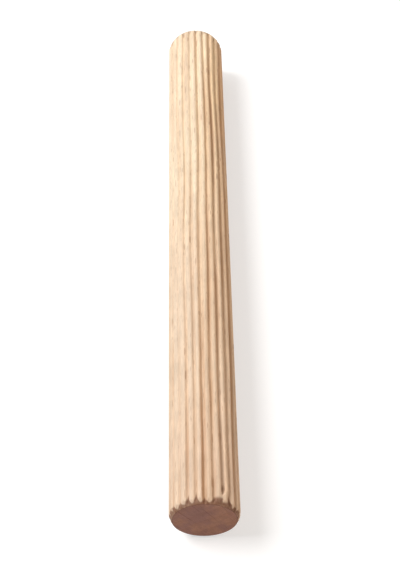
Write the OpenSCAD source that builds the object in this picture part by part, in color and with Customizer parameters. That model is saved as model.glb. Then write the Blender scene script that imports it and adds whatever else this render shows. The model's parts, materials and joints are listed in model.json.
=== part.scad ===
// Fluted dowel pin: one straight rod of beech, bevelled at both ends, with narrow glue channels
// along its whole length. It lies along Y, on the two ridges beside its lowest channel.
// Origin: on the axis, half way along. Y runs along the grain and +Z is up. Millimetres.

/* [Rod] */
// Diameter over the ridges
pin_d = 10; // [8:0.5:16]
// Length from one end face to the other
pin_l = 100; // [30:5:160]

/* [Bevelled ends] */
// Length of each bevel, measured along the rod
bevel_l = 0.8; // [0.6:0.1:2]
// How far each bevel cuts in from the rim
bevel_in = 0.45; // [0.45:0.05:1]

/* [Channels] */
// Spacing of the channels around the rim, taken to the nearest whole number of channels
channel_pitch = 1.3; // [1.2:0.05:1.8]
// Depth of each channel below the ridges
channel_depth = 0.35; // [0.25:0.05:0.35]
// Radius of each channel's round floor
channel_floor_r = 0.22; // [0.16:0.02:0.24]

/* [Ridges] */
// Width of each ridge's crown, on the rim
crown_w = 0.54; // [0.4:0.02:0.56]
// Width of the eased edge on each side of a crown, on the rim
ease_w = 0.06; // [0.02:0.01:0.06]
// How far the eased edges fall away below the crowns
ease_depth = 0.04; // [0.02:0.01:0.06]

/* [Hidden] */

// Smoothness of the rim and of each channel's small floor
$fn = 96;
floor_fn = 24;

// Colour of the bare wood
beech = [0.94, 0.83, 0.70];

pin_r = pin_d / 2;
channel_n = round(PI * pin_d / channel_pitch);
channel_step = 360 / channel_n;

// Direction of the lowest channel in the rod's cross-section
down = -90;

// Cutters run past the surfaces that they cut by this much
over = 0.5;

// The angle that a width on the rim takes up, seen from the axis
function rim_angle(w) = w / pin_r * 180 / PI;

// From a channel's middle to the crowns beside it, and to the top of its own flanks
crown_edge = (channel_step - rim_angle(crown_w)) / 2;
flank_edge = crown_edge - rim_angle(ease_w);

// Where the round floor gives way to the flanks, as an angle on the floor's own circle
floor_edge = 110;
floor_mid = pin_r - channel_depth + channel_floor_r;

// A point at radius r and at angle a from a channel's middle, both seen from the axis
function from_axis(r, a) = [r * cos(a), r * sin(a)];

flank_foot = [floor_mid, 0] + channel_floor_r * [cos(floor_edge), sin(floor_edge)];
flank_top = from_axis(pin_r - ease_depth, flank_edge);
ease_top = from_axis(pin_r, crown_edge);

// The eased edge, carried straight on past the rim
mouth = ease_top + (ease_top - flank_top) * over / ease_w;

function other_side(p) = [p.x, -p.y];

// Cross-section of one channel, which opens towards +X
module channel_section() {
    translate([floor_mid, 0]) circle(r = channel_floor_r, $fn = floor_fn);
    polygon([
        flank_foot,
        flank_top,
        mouth,
        other_side(mouth),
        other_side(flank_top),
        other_side(flank_foot),
    ]);
}

// The straight cutter of one channel, along Z
module channel() {
    linear_extrude(height = pin_l + 2 * over, center = true) channel_section();
}

// The bevelled rod before its channels are cut, along Z
module blank() {
    half_l = pin_l / 2;
    face_r = pin_r - bevel_in;
    rotate_extrude() polygon([
        [0, -half_l],
        [face_r, -half_l],
        [pin_r, bevel_l - half_l],
        [pin_r, half_l - bevel_l],
        [face_r, half_l],
        [0, half_l],
    ]);
}

module dowel_pin() {
    color(beech) rotate([90, 0, 0]) difference() {
        blank();
        for (k = [0 : channel_n - 1]) {
            rotate(down + k * channel_step) channel();
        }
    }
}

dowel_pin();
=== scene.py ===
import json
import math
import random

import bmesh
import bpy
from mathutils import Matrix, Quaternion, Vector, noise


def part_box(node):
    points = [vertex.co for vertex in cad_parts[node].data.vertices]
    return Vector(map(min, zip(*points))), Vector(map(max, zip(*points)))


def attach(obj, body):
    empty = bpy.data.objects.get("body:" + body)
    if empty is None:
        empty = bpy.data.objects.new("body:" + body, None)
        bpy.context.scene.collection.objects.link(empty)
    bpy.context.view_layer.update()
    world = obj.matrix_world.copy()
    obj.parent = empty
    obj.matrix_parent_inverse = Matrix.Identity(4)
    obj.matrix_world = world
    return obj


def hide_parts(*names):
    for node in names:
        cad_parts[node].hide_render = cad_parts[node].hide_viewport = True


# A fluted dowel pin of beech: one straight rod with glue channels along its whole length and a
# bevel at each end. Y runs along the grain and Z is up. Shapes are in metres, and the patterns of
# the wood are in millimetres.

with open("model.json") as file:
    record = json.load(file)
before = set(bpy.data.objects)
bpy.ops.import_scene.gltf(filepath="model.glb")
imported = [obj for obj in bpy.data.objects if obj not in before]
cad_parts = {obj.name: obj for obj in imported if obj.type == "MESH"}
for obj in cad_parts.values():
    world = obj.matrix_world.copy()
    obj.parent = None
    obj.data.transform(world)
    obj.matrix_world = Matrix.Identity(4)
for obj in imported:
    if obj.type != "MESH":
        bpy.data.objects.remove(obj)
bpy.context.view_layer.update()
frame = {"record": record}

MM = 0.001

# The rod
rod_low, rod_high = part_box("dowel_pin")
half_l = rod_high.y
rim_r = frame["record"]["mounts"][0]["dims"]["r_mm"] * MM

# The bevelled ends. Their edges are broken back in places, by up to bevel_break. The two last
# values set how close those places are, and give each end places of its own.
bevel_l = 0.8 * MM
bevel_in = 0.45 * MM
face_r = rim_r - bevel_in
bevel_break = 0.5 * MM
break_spread = 6.3
break_pattern = {"front": 15, "back": 27}

# The channels and the ridges between them. The cutter sat a little off the rod's middle, so the
# channels are deepest on the side that deep_side points at, as an angle from +X towards +Z.
channel_n = 24
channel_step = 2 * math.pi / channel_n
channel_depth = 0.34 * MM
channel_half_w = 0.42 * MM
channel_fullness = 0.7
deep_side = math.radians(38)
off_middle_share = 0.45

# What sets one channel apart from the next: its depth and width as shares of those above, and its
# own place in the patterns that it wanders by
depth_share = (0.78, 1.2)
width_share = (0.86, 1.06)
pattern_step = 7.3
pattern_span = 50
wear_seed = 24

# How a channel wanders along the rod: by which share of itself, and over which length. An edge
# that wanders out past tear_start is torn, and goes further by tear_share.
width_wander = (0.1, 9 * MM)
edge_wander = (0.07, 1.7 * MM)
depth_wander = (0.16, 13 * MM)
slow_depth_wander = (0.3, 38 * MM)
tear_start = 0.42
tear_share = 0.3

# Places in the noise, apart from each other, for the two edges and the two changes of depth
edge_pattern = 3
depth_pattern = Vector((0, 0, 9))
slow_depth_pattern = Vector((0, 0, 21))

# The ridges and channels sway around the rod, by up to sway_reach at the rim. Neighbours sway
# nearly alike, and the less so the larger sway_spread is.
sway_reach = 0.4 * MM
sway_length = 24 * MM
sway_spread = 1.3

# The ridges' crowns: how far they fall to their edges, and the depth and size of their worn
# places, their fibres and the dents, which show only where their pattern is over dent_start
crest_drop = 0.065 * MM
worn_depth = 0.03 * MM
worn_size = 1.6 * MM
fibre_depth = 0.008 * MM
fibre_size = 0.22 * MM
dent_depth = 0.14 * MM
dent_size = 0.9 * MM
dent_start = 0.5

# Half the distance between two channels around the rim
crown_middle = channel_step * rim_r / 2

# The stretch of a pattern that runs along the grain, and of one that does so only a little
long_grain = Matrix.Diagonal((1, 0.06, 1))
short_grain = Matrix.Diagonal((1, 0.4, 1))

# Crushing and soiling of the end grain, with painted shade on top, darken the bevels. It reaches a
# little way up each ridge, where it leaves a light rounded tip, and further up each channel. It starts
# to fade at fade_start of its reach, and the back end has less of it than the front.
tip_reach = (0.22 * MM, 0.68 * MM)
tip_dirt_and_shade = 0.94
stain_and_shade_reach = (0.8 * MM, 2.3 * MM)
stain_and_shade_dirt = (0.75, 1.0)
stain_and_shade_blur = 0.07 * MM
fade_start = 0.6
back_end_dirt_and_shade = 0.4

# One channel near the front end is closed by a burr: the ridge below it leans over it, and there is a
# pit behind it. The crushing and painted shade of the bevel reach further up the ridge above it. The
# burr fills most of the channel's depth, and the pit adds to it.
burr_side = math.radians(60)
burr_lean = math.radians(4)
burr_lean_half_l = 1.5 * MM
darker_tip_reach = 1.25 * MM
burr_from_front = 1.2 * MM
burr_half_l = 0.9 * MM
burr_fill = 0.95
pit_from_front = 2.7 * MM
pit_half_l = 1.2 * MM
pit_extra = 0.45

# Painted shade in the burr's pit, and a darkening that trails off from it along the channel. Both fade
# out across the channel between these two places.
pit_shade = 0.65
trail_darkening = 0.3
trail_reach = (10 * MM, 15 * MM)
trail_edges = (0.25, 0.6)

# How closely the mesh follows the rod: steps around each channel and its crowding at the flanks,
# the longest step along the faces, the bevels, the ends and the length between them, and the gap
# within which two points become one
steps_per_channel = 16
flank_crowding = 0.35
face_step = 0.5 * MM
bevel_step = 0.13 * MM
end_step = 0.16 * MM
end_zone = 3 * MM
length_step = 0.56 * MM
merge_gap = 0.001 * MM

# Rounding of the corners: where a face meets its bevel, and where the bevel meets the crowns. The
# stain of the bevel ends within the face's margin.
face_corner = 0.06 * MM
face_margin = 0.13 * MM
crown_corner = 0.72 * MM
corner_segments = 4

# The camera looks down on the pin from beyond its front end. Its lens is focal_pixels long where
# its picture is picture_h pixels high.
camera_place = Vector((-4.8, -127.8, 146.1)) * MM
picture_h = 570
sensor_h = 36
focal_pixels = 1181
camera_roll = math.radians(1.8)
nearest_seen = 10 * MM


# ---------------------------------------------------------------- the rod's shape


def mixed(a, b, share):
    return a + (b - a) * share


def eased(value, start, end):
    """0 before start, 1 after end, and a smooth rise between them."""
    t = min(max((value - start) / (end - start), 0), 1)
    return t * t * (3 - 2 * t)


def hump(value, middle, half_width):
    """1 at the middle, falling smoothly to 0 at half_width from it."""
    return 1 - eased(abs(value - middle), 0, half_width)


def draw_outline(bm):
    """The rod's outline from the middle of its front face to the middle of its back one."""
    back = [
        (rim_r, half_l - bevel_l - end_zone),
        (rim_r, half_l - bevel_l),
        (face_r, half_l),
        (face_r - face_margin, half_l),
        (0, half_l),
    ]
    front = [(r, -y) for r, y in reversed(back)]
    verts = [bm.verts.new((r, y, 0)) for r, y in front + back]
    for pair in zip(verts, verts[1:]):
        bm.edges.new(pair)
    ease_corner(bm, (verts[2], verts[-3]), face_corner)
    ease_corner(bm, (verts[3], verts[-4]), crown_corner)
    for edge in bm.edges[:]:
        cuts = math.ceil(edge.calc_length() / longest_step(edge)) - 1
        if cuts > 0:
            bmesh.ops.subdivide_edges(bm, edges=[edge], cuts=cuts)


def ease_corner(bm, verts, size):
    bmesh.ops.bevel(
        bm,
        geom=list(verts),
        affect="VERTICES",
        offset=size / 2,
        segments=corner_segments,
        profile=0.5,
        material=-1,
    )


def longest_step(edge):
    """The longest step that the mesh takes along this part of the outline."""
    middle = (edge.verts[0].co + edge.verts[1].co) / 2
    from_end = half_l - abs(middle.y)
    if from_end > bevel_l + end_zone:
        return length_step
    if from_end > bevel_l:
        return end_step
    if middle.x > face_r:
        return bevel_step
    return face_step


def spin_rod(bm):
    bmesh.ops.spin(
        bm,
        geom=bm.verts[:] + bm.edges[:],
        cent=(0, 0, 0),
        axis=(0, 1, 0),
        angle=2 * math.pi,
        steps=channel_n * steps_per_channel,
        use_merge=True,
    )
    bmesh.ops.remove_doubles(bm, verts=bm.verts[:], dist=merge_gap)
    bmesh.ops.recalc_face_normals(bm, faces=bm.faces[:])


class Channel:
    """What sets one channel apart from the next."""

    def __init__(self, number, dice):
        side = number * channel_step
        off_middle = 1 + off_middle_share * math.cos(side - deep_side)
        self.depth = channel_depth * off_middle * dice.uniform(*depth_share)
        self.half_w = channel_half_w * math.sqrt(off_middle) * dice.uniform(*width_share)
        self.stain_and_shade_reach = dice.uniform(*stain_and_shade_reach)
        self.stain_and_shade_dirt = dice.uniform(*stain_and_shade_dirt)
        self.seed = Vector((number * pattern_step, 0, dice.uniform(0, pattern_span)))
        self.has_burr = abs(side - burr_side) < channel_step / 2


def wander(seed, y, share, length):
    """A smooth change from about -share to share, over the given length along the rod."""
    return share * noise.noise(seed + Vector((0, y / length, 0)))


def edge_growth(seed, y):
    """How much further out than usual a channel's edge is here, as a share of the half width."""
    share, length = edge_wander
    out = wander(seed, y, 1, length)
    return share * out + tear_share * max(out - tear_start, 0)


def burr_left(y):
    """What share of the channel's depth the burr and its pit leave at this place."""
    from_front = y + half_l
    lip = hump(from_front, burr_from_front, burr_half_l)
    pit = hump(from_front, pit_from_front, pit_half_l)
    return (1 - burr_fill * lip) * (1 + pit_extra * pit)


def leaning(side, y):
    """How much of its full lean the ridge below the burr has here."""
    ridge_side = burr_side - channel_step / 2
    return hump(side, ridge_side, channel_step) * hump(y + half_l, burr_from_front, burr_lean_half_l)


def channel_cut(channel, off_middle, y):
    """How deep the channel is at this distance from its middle, measured around the rim."""
    this_edge = channel.seed + Vector((math.copysign(edge_pattern, off_middle), 0, 0))
    half_w = channel.half_w * (1 + wander(channel.seed, y, *width_wander))
    half_w *= 1 + edge_growth(this_edge, y)
    if abs(off_middle) >= half_w:
        return 0
    depth = channel.depth * (1 + wander(channel.seed + depth_pattern, y, *depth_wander))
    depth *= 1 + wander(channel.seed + slow_depth_pattern, y, *slow_depth_wander)
    if channel.has_burr:
        depth *= burr_left(y)
    fullness = (0.5 + 0.5 * math.cos(math.pi * off_middle / half_w)) ** channel_fullness
    return depth * fullness


def crown_fall(off_middle, spot):
    """How far the crown lies below the rim: rounded to its edges, uneven, and dented here and there."""
    to_edge = (crown_middle - abs(off_middle)) / (crown_middle - channel_half_w)
    rounding = crest_drop * min(to_edge, 1) ** 2
    worn = noise.noise(long_grain @ spot / worn_size)
    fibres = noise.noise(long_grain @ spot / fibre_size)
    dent = noise.noise(short_grain @ spot / dent_size)
    fall = rounding + worn_depth * max(worn, 0) + fibre_depth * (0.5 + fibres)
    return max(fall + dent_depth * max(dent - dent_start, 0), 0)


def bevel_edge(side, y):
    """The bevel's surface here, as a radius: it is broken back a little in places."""
    pattern = break_pattern["front" if y < 0 else "back"]
    place = Vector((break_spread * math.cos(side), pattern, break_spread * math.sin(side)))
    broken = max(noise.noise(place), 0) * bevel_break
    slope = bevel_in / bevel_l
    return max(face_r + slope * (half_l - abs(y) - broken), face_r)


def sway(side, y):
    """How far the ridges and channels are swayed around the rod here, as an angle."""
    place = Vector((sway_spread * math.cos(side), y / sway_length, sway_spread * math.sin(side)))
    return sway_reach / rim_r * noise.noise(place) + burr_lean * leaning(side, y)


def pit_shade_and_trail(across, from_front):
    """How dark the painted shade in the burr's pit is, and the darkening that trails off from it along
    the channel.
    """
    in_pit = pit_shade * hump(from_front, pit_from_front, pit_half_l)
    behind_burr = eased(from_front, pit_from_front - pit_half_l, pit_from_front)
    trail = trail_darkening * behind_burr * (1 - eased(from_front, *trail_reach))
    return max(in_pit, trail) * (1 - eased(abs(across), *trail_edges))


def end_dirt_and_shade(channel, ridge_reach, across, y):
    """How dark the end grain is here from crushing and painted shade, from 0 to 1.

    across is 0 in the channel's middle, and 1 or -1 on the ridges beside it.
    """
    front = y < 0
    closed = channel.has_burr and front
    in_channel = 0 if closed else (1 - min(abs(across), 1)) ** 2
    reach = mixed(ridge_reach, channel.stain_and_shade_reach, in_channel)
    dirt_and_shade = mixed(tip_dirt_and_shade, channel.stain_and_shade_dirt, in_channel)
    dirt_and_shade *= 1 - eased(half_l - abs(y), fade_start * reach, reach + stain_and_shade_blur)
    if closed:
        dirt_and_shade = max(dirt_and_shade, pit_shade_and_trail(across, y + half_l))
    return dirt_and_shade * (1 if front else back_end_dirt_and_shade)


def carve(bm):
    """Moves the rod's skin inwards along the channels, and gives the crowns between them their wear."""
    dice = random.Random(wear_seed)
    channels = [Channel(number, dice) for number in range(channel_n)]
    tips = [dice.uniform(*tip_reach) for _ in range(channel_n)]
    tips[round(burr_side / channel_step)] = darker_tip_reach
    in_channel = bm.verts.layers.float.new("in_channel")
    crush_and_shade = bm.verts.layers.float.new("crush_and_shade")
    for vert in bm.verts:
        x, y, z = vert.co
        radius = math.hypot(x, z)
        if radius < face_step / 2:
            continue
        turn = math.atan2(z, x) / channel_step
        number = round(turn)
        channel = channels[number % channel_n]
        tip = tips[math.floor(turn) % channel_n]
        # 0 in the channel's middle and 1 or -1 on the ridges, with the points crowded at its flanks
        across = 2 * (turn - number)
        across += flank_crowding * math.sin(2 * math.pi * across) / (2 * math.pi)
        side = (number + across / 2) * channel_step
        off_middle = across / 2 * channel_step * rim_r
        on_rim = Vector((math.cos(side), y / rim_r, math.sin(side))) * rim_r
        deepest = channel_cut(channel, off_middle, y)
        skin = min(radius, rim_r - max(deepest, crown_fall(off_middle, on_rim)))
        if half_l - abs(y) < bevel_l + bevel_break:
            skin = min(skin, max(bevel_edge(side, y), min(radius, face_r)))
        side += sway(side, y) * eased(radius, face_r / 2, rim_r)
        vert.co = (skin * math.cos(side), y, skin * math.sin(side))
        if radius > face_r - face_corner:
            vert[in_channel] = min(deepest / channel_depth, 1)
            # Crushing with painted shade on the bevels and the channels' ends
            vert[crush_and_shade] = end_dirt_and_shade(channel, tip, across, y)


def mark_cut_grain(bm):
    """Notes on each point how squarely the surface cuts across the grain there."""
    bm.normal_update()
    across_grain = bm.verts.layers.float.new("across_grain")
    for vert in bm.verts:
        vert[across_grain] = abs(vert.normal.y)


def make_pin(material):
    bm = bmesh.new()
    draw_outline(bm)
    spin_rod(bm)
    carve(bm)
    mark_cut_grain(bm)
    for face in bm.faces:
        face.smooth = True
    mesh = bpy.data.meshes.new("fluted_rod")
    bm.to_mesh(mesh)
    bm.free()
    mesh.materials.append(material)
    pin = bpy.data.objects.new("fluted_rod", mesh)
    bpy.context.scene.collection.objects.link(pin)
    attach(pin, "root")
    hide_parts("dowel_pin")


# ---------------------------------------------------------------- materials


class Recipe:
    """The nodes of a material or a sky, written as sums. Sockets and plain values mix freely."""

    def __init__(self, owner):
        owner.use_nodes = True
        self.tree = owner.node_tree
        self.tree.nodes.clear()

    def node(self, kind, inputs=(), **settings):
        made = self.tree.nodes.new(kind)
        for name, value in settings.items():
            setattr(made, name, value)
        for socket, value in dict(inputs).items():
            self.feed(made.inputs[socket], value)
        return made

    def feed(self, socket, value):
        if isinstance(value, bpy.types.NodeSocket):
            self.tree.links.new(value, socket)
        else:
            socket.default_value = value

    def sum(self, operation, a, b=0.0, c=0.0):
        made = self.node("ShaderNodeMath", operation=operation)
        for socket, value in zip(made.inputs, (a, b, c)):
            self.feed(socket, value)
        return made.outputs[0]

    def product(self, a, b):
        return self.sum("MULTIPLY", a, b)

    def vector_sum(self, operation, a, b=(0, 0, 0)):
        made = self.node("ShaderNodeVectorMath", operation=operation)
        self.feed(made.inputs[0], a)
        if operation == "SCALE":
            self.feed(made.inputs["Scale"], b)
        elif operation != "LENGTH":
            self.feed(made.inputs[1], b)
        return made.outputs["Value" if operation == "LENGTH" else "Vector"]

    def rise(self, value, start, end, low=0.0, high=1.0):
        """low before start, high after end, and a smooth change between them."""
        inputs = {"Value": value, "From Min": start, "From Max": end, "To Min": low, "To Max": high}
        made = self.node("ShaderNodeMapRange", inputs, interpolation_type="SMOOTHSTEP")
        return made.outputs[0]

    def blend(self, share, a, b, kind="MIX"):
        made = self.node("ShaderNodeMix", data_type="RGBA", blend_type=kind)
        self.feed(made.inputs[0], share)
        self.feed(made.inputs[6], a)
        self.feed(made.inputs[7], b)
        return made.outputs[2]

    def speckle(self, place, stretch, detail=2.0, roughness=0.5):
        """Soft noise from 0 to 1. stretch is how often it changes in a millimetre, each way."""
        inputs = {
            "Vector": self.vector_sum("MULTIPLY", place, stretch),
            "Scale": 1.0,
            "Detail": detail,
            "Roughness": roughness,
        }
        return self.node("ShaderNodeTexNoise", inputs).outputs[0]

    def attribute(self, name):
        return self.node("ShaderNodeAttribute", attribute_name=name).outputs["Fac"]


# The tree's middle lies this far from the rod's axis, in millimetres, and leans by this much
pith_x = 24.0
pith_z = -34.0
pith_lean_x = 0.018
pith_lean_z = -0.012
pith_distance = math.hypot(pith_x, pith_z)

# The width of a year's ring, where one of them starts, and by how many rings they waver
ring_width = 2.3
ring_start = 0.6
ring_waver = 1.1

# Patterns in the wood. stretch is how often each changes in a millimetre, around the tree, along it
# and outwards.
ring_wave = {"stretch": (0.12, 0.025, 0.12), "detail": 3.0}
broad_patches = {"stretch": (0.16, 0.03, 0.16)}
colour_bands = {"stretch": (1.4, 0.035, 1.4)}
mottling = {"stretch": (0.95, 0.28, 0.95), "detail": 3.0, "roughness": 0.6}
fibre_lines = {"stretch": (8.0, 0.28, 8.0), "detail": 4.0, "roughness": 0.65}
fine_lines = {"stretch": (22.0, 0.9, 22.0), "detail": 3.0, "roughness": 0.6}
pore_lines = {"stretch": (13.0, 0.5, 13.0)}
dust_and_shade_patches = {"stretch": (0.7, 0.055, 0.7)}
grime_and_shade_patches = {"stretch": (2.2, 1.1, 2.2), "detail": 3.0, "roughness": 0.6}
end_patches = {"stretch": (0.3, 0.05, 0.3), "detail": 3.0, "roughness": 0.6}

# The rays, thin sheets that run outwards through the wood: the distance from each to the next and
# half its own size, around the tree, along it and outwards, and the share of them that is there.
# The size of each is divided by a chance value, from ray_divisor to ray_spread above it.
broad_ray = {"spacing": (0.8, 2.7, 8.0), "half_size": (0.075, 0.85, 3.0), "share": 0.7}
fine_ray = {"spacing": (0.36, 1.3, 2.6), "half_size": (0.05, 0.42, 0.9), "share": 0.8}
cut_ray = {"spacing": (0.3, 2.0, 5.0), "half_size": (0.035, 1.0, 2.2), "share": 0.8}
ray_divisor = 0.7
ray_spread = 0.8

# The open vessels of the end grain: how many to a millimetre, their stretch, and the distances from
# its middle at which one starts to fade and ends
vessels_per_mm = 7.0
vessel_stretch = (1, 0.02, 1)
vessel_edge = (0.02, 0.05)

# Where the broad colours come in along the rod, and outwards from the tree's middle. The first two are
# a pinker tone that is also painted shade darkening the front. The last three put painted shade, with
# warm bounce light, on the rod's right side nearest the tree's middle, most of it towards the back.
pink_and_shade_in_middle = {"start": 18.0, "end": -14.0, "high": 0.48}
pink_and_shade_at_front = {"start": -26.0, "end": -44.0, "high": 0.3}
shade_towards_back = {"start": -45.0, "end": 45.0, "low": 0.1}
half_shade_side = {"start": pith_distance + 4.3, "end": pith_distance + 3.2, "high": 0.8}
deep_shade_side = {"start": pith_distance + 2.0, "end": pith_distance - 0.6}

# Where the channels are less dusty and less darkened by painted shade, outwards from the tree's middle
# and at the back end
less_dust_and_shade_side = {"start": pith_distance + 4.9, "end": pith_distance + 2.6, "low": 0.3}
less_dust_and_shade_back = {"start": 46.0, "end": 24.0, "low": 0.4}

# Colours of the wood, in linear values, and how strongly some of them show
pale_wood = (0.93, 0.775, 0.57, 1)
warm_wood = (0.83, 0.62, 0.435, 1)
# The next colour is pinker and darker, partly painted shade, and the two after it are painted shade and
# warm bounce light, not colours of the wood.
pink_and_shade_wood = (0.725, 0.52, 0.39, 1)
half_shade_paint = (0.86, 0.63, 0.37, 1)
deep_shade_paint = (0.79, 0.505, 0.29, 1)
ring_line = (0.68, 0.45, 0.285, 1)
ray_brown = (0.42, 0.225, 0.12, 1)
# The channel colour: dusty channel floors, with painted shade in them.
channel_dust_and_shade_brown = (0.54, 0.33, 0.19, 1)
# The next colour is crushed end grain, darkened further as painted shade.
crush_and_shade_brown = (0.19, 0.078, 0.04, 1)
ring_strength = 0.32
broad_ray_strength = 0.5
fine_ray_strength = 0.26

# What the wood's colour is multiplied by where it is cut across: wholly on the front face, less on
# the back one, which is cleaner, and a little on the bevels
end_tone = (0.52, 0.335, 0.36, 1)
end_patch = (0.65, 0.42, 0.375, 1)
end_pore = (0.45, 0.33, 0.30, 1)
end_ray = (1.22, 1.2, 1.18, 1)
pore_strength = 0.38
end_ray_strength = 0.5
front_to_back = {"start": -10.0, "end": 10.0, "low": 1.0, "high": 0.5}
on_bevels = 0.12

# The wood's relief: how high its fibres stand, and how far the broad rays sink and the fine lines
# rise against them
relief = 0.03 * MM
ray_relief = -0.5
fine_relief = 0.35


def grain_place(beech):
    """Millimetres around the tree, along it and out from its middle, for a point in the wood."""
    spot = beech.node("ShaderNodeTexCoord").outputs["Object"]
    spot = beech.vector_sum("SCALE", spot, 1 / MM)
    x, along, z = beech.node("ShaderNodeSeparateXYZ", {0: spot}).outputs
    off_x = beech.sum("SUBTRACT", x, beech.sum("MULTIPLY_ADD", along, pith_lean_x, pith_x))
    off_z = beech.sum("SUBTRACT", z, beech.sum("MULTIPLY_ADD", along, pith_lean_z, pith_z))
    around = beech.product(beech.sum("ARCTAN2", off_z, off_x), pith_distance)
    out = beech.sum("SQRT", beech.sum("MULTIPLY_ADD", off_x, off_x, beech.product(off_z, off_z)))
    place = beech.node("ShaderNodeCombineXYZ", {0: around, 1: along, 2: out}).outputs[0]
    return place, along, out


def late_wood(beech, place, out):
    """Rises through each year's ring to 1 in the dense line that closes it, and starts again at 0."""
    years = beech.sum("DIVIDE", beech.sum("SUBTRACT", out, ring_start), ring_width)
    years = beech.sum("MULTIPLY_ADD", beech.speckle(place, **ring_wave), ring_waver, years)
    year = beech.sum("FRACT", years)
    growing = beech.rise(year, 0.35, 0.94)
    closing = beech.rise(year, 0.92, 1.0, low=1.0, high=0.0)
    return beech.product(growing, closing)


def rays(beech, place, spacing, half_size, share):
    """1 inside the rays, and 0 between them."""
    cells = beech.vector_sum("DIVIDE", place, spacing)
    found = beech.node("ShaderNodeTexVoronoi", {"Vector": cells, "Scale": 1.0})
    off = beech.vector_sum("SUBTRACT", cells, found.outputs["Position"])
    reach = [s / h for s, h in zip(spacing, half_size)]
    off = beech.vector_sum("LENGTH", beech.vector_sum("MULTIPLY", off, reach))
    luck = beech.node("ShaderNodeSeparateColor", {0: found.outputs["Color"]}).outputs
    off = beech.product(off, beech.sum("MULTIPLY_ADD", luck[0], ray_spread, ray_divisor))
    inside = beech.rise(off, 0.6, 1.0, low=1.0, high=0.0)
    present = beech.sum("LESS_THAN", luck[1], share)
    return beech.product(inside, present)


def end_vessels(beech, place):
    """1 in the small open vessels that dot the end grain."""
    found = beech.node("ShaderNodeTexVoronoi", {"Vector": place, "Scale": vessels_per_mm})
    off = beech.vector_sum("SUBTRACT", place, found.outputs["Position"])
    across = beech.vector_sum("LENGTH", beech.vector_sum("MULTIPLY", off, vessel_stretch))
    return beech.rise(across, *vessel_edge, low=1.0, high=0.0)


def tree_colour_and_shade(beech, place, along, out):
    """The broad colours, bands and year rings: pinker and darker to the front, partly as painted shade,
    and painted shade with warm bounce light on the right side towards the back.
    """
    broad = beech.rise(beech.speckle(place, **broad_patches), 0.3, 0.7, high=0.2)
    colour = beech.blend(broad, pale_wood, warm_wood)
    # Pinker and darker to the front: a tone of the wood, and painted shade.
    pink_and_shade = beech.sum("ADD", beech.rise(along, **pink_and_shade_in_middle), beech.rise(along, **pink_and_shade_at_front))
    colour = beech.blend(pink_and_shade, colour, pink_and_shade_wood)
    # Painted shade with warm bounce light on the right side, most of it towards the back.
    behind = beech.rise(along, **shade_towards_back)
    colour = beech.blend(beech.product(beech.rise(out, **half_shade_side), behind), colour, half_shade_paint)
    colour = beech.blend(beech.product(beech.rise(out, **deep_shade_side), behind), colour, deep_shade_paint)
    bands = beech.rise(beech.speckle(place, **colour_bands), 0.35, 0.68, high=0.6)
    colour = beech.blend(bands, colour, warm_wood)
    rings = beech.product(late_wood(beech, place, out), ring_strength)
    return beech.blend(rings, colour, ring_line)


def streaks(beech, place, fibres, fine):
    """The light and dark of the fibres and pores, as what the colour is multiplied by."""
    pores = beech.speckle(place, **pore_lines)
    mottle = beech.speckle(place, **mottling)
    shade = beech.rise(fibres, 0.25, 0.75, low=0.88, high=1.08)
    shade = beech.product(shade, beech.rise(pores, 0.6, 0.72, low=1.0, high=0.9))
    shade = beech.product(shade, beech.rise(mottle, 0.3, 0.7, low=0.92, high=1.06))
    return beech.product(shade, beech.rise(fine, 0.25, 0.75, low=0.95, high=1.04))


def channel_dust_and_shade(beech, place, along, out):
    """How dusty the channels are and how much painted shade lies in them: only in the channels, in
    patches along them, and most on the right side.
    """
    dust_and_shade = beech.rise(beech.speckle(place, **dust_and_shade_patches), 0.35, 0.66, low=0.14, high=0.85)
    dust_and_shade = beech.product(dust_and_shade, beech.rise(out, **less_dust_and_shade_side))
    dust_and_shade = beech.product(dust_and_shade, beech.rise(along, **less_dust_and_shade_back))
    return beech.product(beech.attribute("in_channel"), dust_and_shade)


def cut_across(beech, colour, place, along):
    """The wood's colour where it is cut across: deeper, in patches, with rays and vessels."""
    patches = beech.rise(beech.speckle(place, **end_patches), 0.38, 0.62)
    tone = beech.blend(patches, end_tone, end_patch)
    colour = beech.blend(beech.rise(along, **front_to_back), colour, tone, "MULTIPLY")
    sheets = beech.product(rays(beech, place, **cut_ray), end_ray_strength)
    colour = beech.blend(sheets, colour, end_ray, "MULTIPLY")
    pores = beech.product(end_vessels(beech, place), pore_strength)
    return beech.blend(pores, colour, end_pore, "MULTIPLY")


def end_grain(beech):
    """How far the wood shows as cut across: on_bevels on the bevels, and 1 on the faces."""
    facing_end = beech.attribute("across_grain")
    bevels = beech.rise(facing_end, 0.15, 0.45, high=on_bevels)
    faces = beech.rise(facing_end, 0.6, 0.95, high=1 - on_bevels)
    return beech.sum("ADD", bevels, faces)


def crush_and_shade_grain(beech, place):
    """How dark the ends are from crushing and painted shade, a little unevenly."""
    grime_and_shade = beech.rise(beech.speckle(place, **grime_and_shade_patches), 0.3, 0.65, low=0.82, high=1.0)
    return beech.product(beech.attribute("crush_and_shade"), grime_and_shade)


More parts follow.
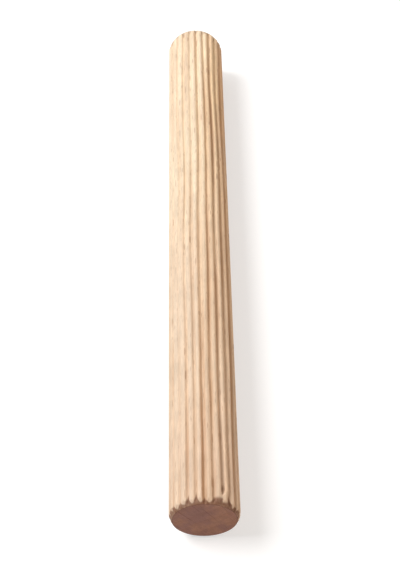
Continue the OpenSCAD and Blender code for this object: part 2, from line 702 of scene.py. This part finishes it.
def beech_wood():
    material = bpy.data.materials.new("bare_beech")
    beech = Recipe(material)
    place, along, out = grain_place(beech)
    fibres = beech.speckle(place, **fibre_lines)
    fine = beech.speckle(place, **fine_lines)
    broad_rays = rays(beech, place, **broad_ray)
    fine_rays = rays(beech, place, **fine_ray)

    colour = tree_colour_and_shade(beech, place, along, out)
    colour = beech.blend(beech.product(broad_rays, broad_ray_strength), colour, ray_brown)
    colour = beech.blend(beech.product(fine_rays, fine_ray_strength), colour, ray_brown)
    colour = beech.vector_sum("SCALE", colour, streaks(beech, place, fibres, fine))
    colour = beech.blend(channel_dust_and_shade(beech, place, along, out), colour, channel_dust_and_shade_brown)
    colour = beech.blend(end_grain(beech), colour, cut_across(beech, colour, place, along))
    colour = beech.blend(crush_and_shade_grain(beech, place), colour, crush_and_shade_brown)

    height = beech.sum("MULTIPLY_ADD", broad_rays, ray_relief, fibres)
    height = beech.sum("MULTIPLY_ADD", fine, fine_relief, height)
    bump = beech.node("ShaderNodeBump", {"Height": height, "Distance": relief, "Strength": 1.0})
    shader = beech.node(
        "ShaderNodeBsdfPrincipled",
        {
            "Base Color": colour,
            "Roughness": beech.rise(fibres, 0.2, 0.8, low=0.56, high=0.72),
            "Specular IOR Level": 0.3,
            "Normal": bump.outputs[0],
        },
    )
    beech.node("ShaderNodeOutputMaterial", {"Surface": shader.outputs[0]})
    return material


# ---------------------------------------------------------------- stage, light and camera

white = (1, 1, 1, 1)

# The floor's own grey, and the glow that makes it white where it is seen
floor_grey = 0.55
floor_glow = 0.55
floor_size = 8.0

# The sky, the main light from the left and above, a small softbox behind the rod and a large warm
# one on its right
sky_level = 0.22
sky_tint = (1.0, 0.97, 0.94, 1)
key_direction = (-0.61, 0.14, 0.78)
key_level = 0.80
key_spread = math.radians(28)
back_box = {
    "direction": (-0.35, 0.75, 0.55),
    "distance": 0.22,
    "size": 0.12,
    "level": 0.2,
    "tint": (1, 1, 1),
}
fill_box = {
    "direction": (0.85, -0.2, 0.5),
    "distance": 0.5,
    "size": 0.4,
    "level": 0.36,
    "tint": (1.0, 0.80, 0.63),
}


def seen_directly(recipe):
    """1 for what the camera sees, straight or in a reflection or through glass."""
    path = recipe.node("ShaderNodeLightPath").outputs
    mirrored = recipe.sum("MAXIMUM", path["Is Glossy Ray"], path["Is Transmission Ray"])
    return recipe.sum("MAXIMUM", path["Is Camera Ray"], mirrored)


def floor_paint():
    material = bpy.data.materials.new("white_floor")
    paint = Recipe(material)
    grey = (floor_grey, floor_grey, floor_grey, 1)
    matt = paint.node("ShaderNodeBsdfDiffuse", {"Color": grey})
    glow_level = paint.product(seen_directly(paint), floor_glow)
    glow = paint.node("ShaderNodeEmission", {"Color": white, "Strength": glow_level})
    both = paint.node("ShaderNodeAddShader", {0: matt.outputs[0], 1: glow.outputs[0]})
    paint.node("ShaderNodeOutputMaterial", {"Surface": both.outputs[0]})
    return material


def lay_floor(paint):
    bm = bmesh.new()
    bmesh.ops.create_grid(bm, x_segments=1, y_segments=1, size=floor_size / 2)
    bmesh.ops.translate(bm, verts=bm.verts[:], vec=(0, 0, rod_low.z))
    mesh = bpy.data.meshes.new("floor")
    bm.to_mesh(mesh)
    bm.free()
    mesh.materials.append(paint)
    floor = bpy.data.objects.new("floor", mesh)
    bpy.context.scene.collection.objects.link(floor)


def light_sky():
    """A sky that is white where it is seen, and lights the rod at sky_level in sky_tint."""
    world = bpy.data.worlds.new("studio")
    bpy.context.scene.world = world
    studio = Recipe(world)
    seen = seen_directly(studio)
    tint = studio.blend(seen, sky_tint, white)
    level = studio.rise(seen, 0.0, 1.0, low=sky_level)
    sky = studio.node("ShaderNodeBackground", {"Color": tint, "Strength": level})
    studio.node("ShaderNodeOutputWorld", {"Surface": sky.outputs[0]})


def hang_lamp(name, lamp, direction, distance):
    """Hangs a lamp in that direction from the rod's middle, aimed at it."""
    hung = bpy.data.objects.new(name, lamp)
    hung.location = Vector(direction).normalized() * distance
    hung.rotation_euler = (-hung.location).to_track_quat("-Z", "Y").to_euler()
    bpy.context.scene.collection.objects.link(hung)


def light_key():
    """The main light, from a wide and distant source. At level 1 it alone shows a colour as written."""
    lamp = bpy.data.lights.new("key", "SUN")
    lamp.energy = key_level * math.pi
    lamp.angle = key_spread
    hang_lamp("key", lamp, key_direction, distance=1.0)


def hang_softbox(name, direction, distance, size, level, tint):
    """A square lamp. At level 1 it alone shows a colour at the rod's middle as it is written."""
    lamp = bpy.data.lights.new(name, "AREA")
    lamp.size = size
    lamp.color = tint
    lamp.energy = level * (math.pi * distance) ** 2
    hang_lamp(name, lamp, direction, distance)


def set_camera():
    lens = bpy.data.cameras.new("camera")
    lens.sensor_fit = "VERTICAL"
    lens.sensor_height = sensor_h
    lens.lens = focal_pixels / picture_h * sensor_h
    lens.clip_start = nearest_seen
    camera = bpy.data.objects.new("camera", lens)
    camera.location = camera_place
    to_front = (Vector((0, -half_l, 0)) - camera_place).normalized()
    to_back = (Vector((0, half_l, 0)) - camera_place).normalized()
    aim = (to_front + to_back).to_track_quat("-Z", "Y")
    camera.rotation_euler = (aim @ Quaternion((0, 0, 1), camera_roll)).to_euler()
    bpy.context.scene.collection.objects.link(camera)
    bpy.context.scene.camera = camera


set_camera()
bpy.context.scene.view_settings.view_transform = "Standard"
light_sky()
light_key()
hang_softbox("back_box", **back_box)
hang_softbox("fill_box", **fill_box)
lay_floor(floor_paint())
make_pin(beech_wood())
